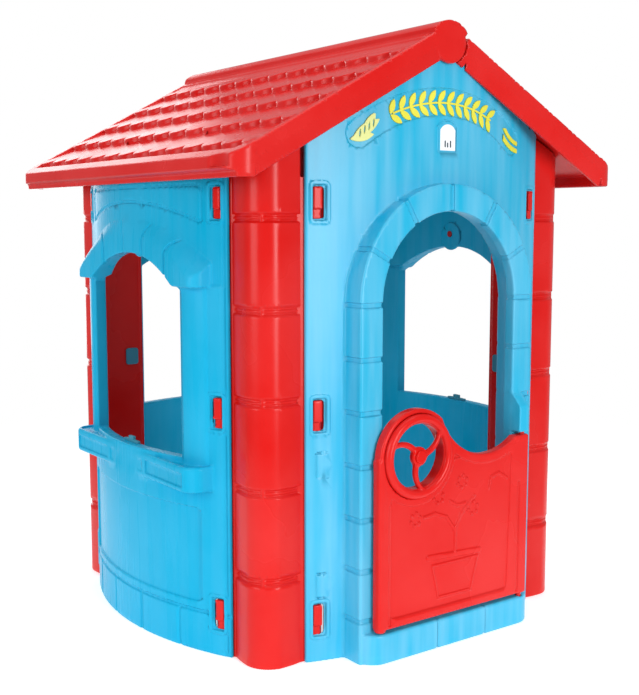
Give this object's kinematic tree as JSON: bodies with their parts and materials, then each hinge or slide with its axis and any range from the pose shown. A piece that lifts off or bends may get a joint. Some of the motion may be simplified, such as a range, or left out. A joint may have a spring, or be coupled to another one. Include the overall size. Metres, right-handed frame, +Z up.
{
  "type": "plastic playhouse",
  "caption": "Plastic garden playhouse with bowed walls, arched doorway and windows, pitched tile roof, and a half door with a steering wheel.",
  "frame": {"origin": "on the floor, at the centre of the house between the corner posts", "axes": "+Z up, the doorway faces -Y, +X to the right seen from the front"},
  "size_m": [1.054, 1.096, 1.312],
  "materials": {
    "red_plastic": "gloss",
    "blue_plastic": "gloss",
    "yellow_print": "gloss",
    "pale_yellow_print": "gloss",
    "white_label": "gloss",
    "dark_print": "matte"
  },
  "bodies": {
    "house": {"front_wall": "blue_plastic", "back_wall": "blue_plastic", "left_wall": "blue_plastic", "right_wall": "blue_plastic", "post_plugs": "blue_plastic", "sill_catches": "blue_plastic", "front_left_post": "red_plastic", "front_right_post": "red_plastic", "back_right_post": "red_plastic", "back_left_post": "red_plastic", "roof_left": "red_plastic", "roof_right": "red_plastic", "tab_pins": "red_plastic", "banner_garland": "yellow_print", "banner_stripes": "yellow_print", "banner_wing": "pale_yellow_print", "gable_label": "white_label", "label_mark": "dark_print"},
    "door": {"door": "red_plastic", "hinge_pin_upper": "red_plastic", "hinge_pin_lower": "red_plastic"},
    "wheel": {"steering_wheel": "red_plastic", "hub_cap": "red_plastic"}
  },
  "joints": [
    {"name": "door_hinge", "type": "hinge", "parent": "house", "child": "door", "pos_m": [0.2, -0.524, 0.25], "axis": [0, 0, 1], "range_deg": [0, 110]},
    {"name": "wheel_turn", "type": "hinge", "parent": "door", "child": "wheel", "pos_m": [-0.112, -0.524, 0.425], "axis": [0, -1, 0], "continuous": true}
  ]
}
